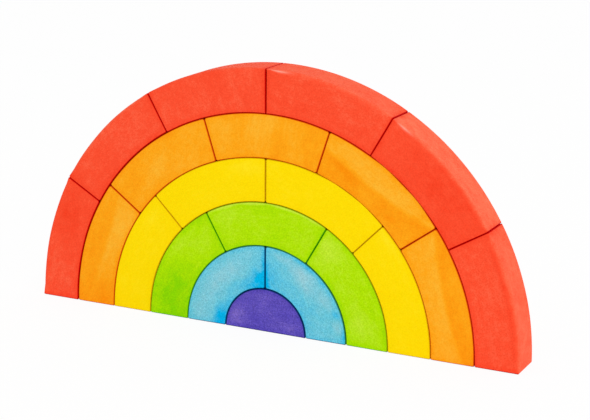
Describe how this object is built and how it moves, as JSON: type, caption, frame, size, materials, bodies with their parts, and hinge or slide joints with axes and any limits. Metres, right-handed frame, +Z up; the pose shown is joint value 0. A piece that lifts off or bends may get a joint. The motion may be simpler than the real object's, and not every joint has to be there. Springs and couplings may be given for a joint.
{
  "type": "rainbow stacker",
  "caption": "Stained wooden rainbow stacker: rings of loose arch blocks with sanded edges stand round a half-round core block, and each block slides out to build with.",
  "frame": {"origin": "the common centre of all the rings, on the ground and halfway through the thickness", "axes": "+Z up, +X along the width from the left foot to the right foot as seen from the front, +Y from the front to the back"},
  "size_m": [0.3, 0.022, 0.15],
  "materials": {
    "violet_stained_wood": "violet water-based stain on fine-grained hardwood, sanded and left matt to satin",
    "blue_stained_wood": "blue water-based stain on fine-grained hardwood, sanded and left matt to satin",
    "green_stained_wood": "green water-based stain on fine-grained hardwood, sanded and left matt to satin",
    "yellow_stained_wood": "yellow water-based stain on fine-grained hardwood, sanded and left matt to satin",
    "orange_stained_wood": "orange water-based stain on fine-grained hardwood, sanded and left matt to satin",
    "red_stained_wood": "red water-based stain on fine-grained hardwood, sanded and left matt to satin"
  },
  "bodies": {
    "violet_block": {"violet_block": "violet_stained_wood"},
    "blue_block_1": {"blue_block_1": "blue_stained_wood"},
    "blue_block_2": {"blue_block_2": "blue_stained_wood"},
    "green_block_1": {"green_block_1": "green_stained_wood"},
    "green_block_2": {"green_block_2": "green_stained_wood"},
    "green_block_3": {"green_block_3": "green_stained_wood"},
    "yellow_block_1": {"yellow_block_1": "yellow_stained_wood"},
    "yellow_block_2": {"yellow_block_2": "yellow_stained_wood"},
    "yellow_block_3": {"yellow_block_3": "yellow_stained_wood"},
    "yellow_block_4": {"yellow_block_4": "yellow_stained_wood"},
    "orange_block_1": {"orange_block_1": "orange_stained_wood"},
    "orange_block_2": {"orange_block_2": "orange_stained_wood"},
    "orange_block_3": {"orange_block_3": "orange_stained_wood"},
    "orange_block_4": {"orange_block_4": "orange_stained_wood"},
    "orange_block_5": {"orange_block_5": "orange_stained_wood"},
    "red_block_1": {"red_block_1": "red_stained_wood"},
    "red_block_2": {"red_block_2": "red_stained_wood"},
    "red_block_3": {"red_block_3": "red_stained_wood"},
    "red_block_4": {"red_block_4": "red_stained_wood"},
    "red_block_5": {"red_block_5": "red_stained_wood"},
    "red_block_6": {"red_block_6": "red_stained_wood"}
  },
  "joints": [
    {"name": "blue_block_1_pull", "type": "slide", "parent": "violet_block", "child": "blue_block_1", "axis": [0, -1, 0], "range_m": [-0.03, 0.03]},
    {"name": "blue_block_2_pull", "type": "slide", "parent": "violet_block", "child": "blue_block_2", "axis": [0, -1, 0], "range_m": [-0.03, 0.03]},
    {"name": "green_block_1_pull", "type": "slide", "parent": "violet_block", "child": "green_block_1", "axis": [0, -1, 0], "range_m": [-0.03, 0.03]},
    {"name": "green_block_2_pull", "type": "slide", "parent": "violet_block", "child": "green_block_2", "axis": [0, -1, 0], "range_m": [-0.03, 0.03]},
    {"name": "green_block_3_pull", "type": "slide", "parent": "violet_block", "child": "green_block_3", "axis": [0, -1, 0], "range_m": [-0.03, 0.03]},
    {"name": "yellow_block_1_pull", "type": "slide", "parent": "violet_block", "child": "yellow_block_1", "axis": [0, -1, 0], "range_m": [-0.03, 0.03]},
    {"name": "yellow_block_2_pull", "type": "slide", "parent": "violet_block", "child": "yellow_block_2", "axis": [0, -1, 0], "range_m": [-0.03, 0.03]},
    {"name": "yellow_block_3_pull", "type": "slide", "parent": "violet_block", "child": "yellow_block_3", "axis": [0, -1, 0], "range_m": [-0.03, 0.03]},
    {"name": "yellow_block_4_pull", "type": "slide", "parent": "violet_block", "child": "yellow_block_4", "axis": [0, -1, 0], "range_m": [-0.03, 0.03]},
    {"name": "orange_block_1_pull", "type": "slide", "parent": "violet_block", "child": "orange_block_1", "axis": [0, -1, 0], "range_m": [-0.03, 0.03]},
    {"name": "orange_block_2_pull", "type": "slide", "parent": "violet_block", "child": "orange_block_2", "axis": [0, -1, 0], "range_m": [-0.03, 0.03]},
    {"name": "orange_block_3_pull", "type": "slide", "parent": "violet_block", "child": "orange_block_3", "axis": [0, -1, 0], "range_m": [-0.03, 0.03]},
    {"name": "orange_block_4_pull", "type": "slide", "parent": "violet_block", "child": "orange_block_4", "axis": [0, -1, 0], "range_m": [-0.03, 0.03]},
    {"name": "orange_block_5_pull", "type": "slide", "parent": "violet_block", "child": "orange_block_5", "axis": [0, -1, 0], "range_m": [-0.03, 0.03]},
    {"name": "red_block_1_pull", "type": "slide", "parent": "violet_block", "child": "red_block_1", "axis": [0, -1, 0], "range_m": [-0.03, 0.03]},
    {"name": "red_block_2_pull", "type": "slide", "parent": "violet_block", "child": "red_block_2", "axis": [0, -1, 0], "range_m": [-0.03, 0.03]},
    {"name": "red_block_3_pull", "type": "slide", "parent": "violet_block", "child": "red_block_3", "axis": [0, -1, 0], "range_m": [-0.03, 0.03]},
    {"name": "red_block_4_pull", "type": "slide", "parent": "violet_block", "child": "red_block_4", "axis": [0, -1, 0], "range_m": [-0.03, 0.03]},
    {"name": "red_block_5_pull", "type": "slide", "parent": "violet_block", "child": "red_block_5", "axis": [0, -1, 0], "range_m": [-0.03, 0.03]},
    {"name": "red_block_6_pull", "type": "slide", "parent": "violet_block", "child": "red_block_6", "axis": [0, -1, 0], "range_m": [-0.03, 0.03]}
  ]
}
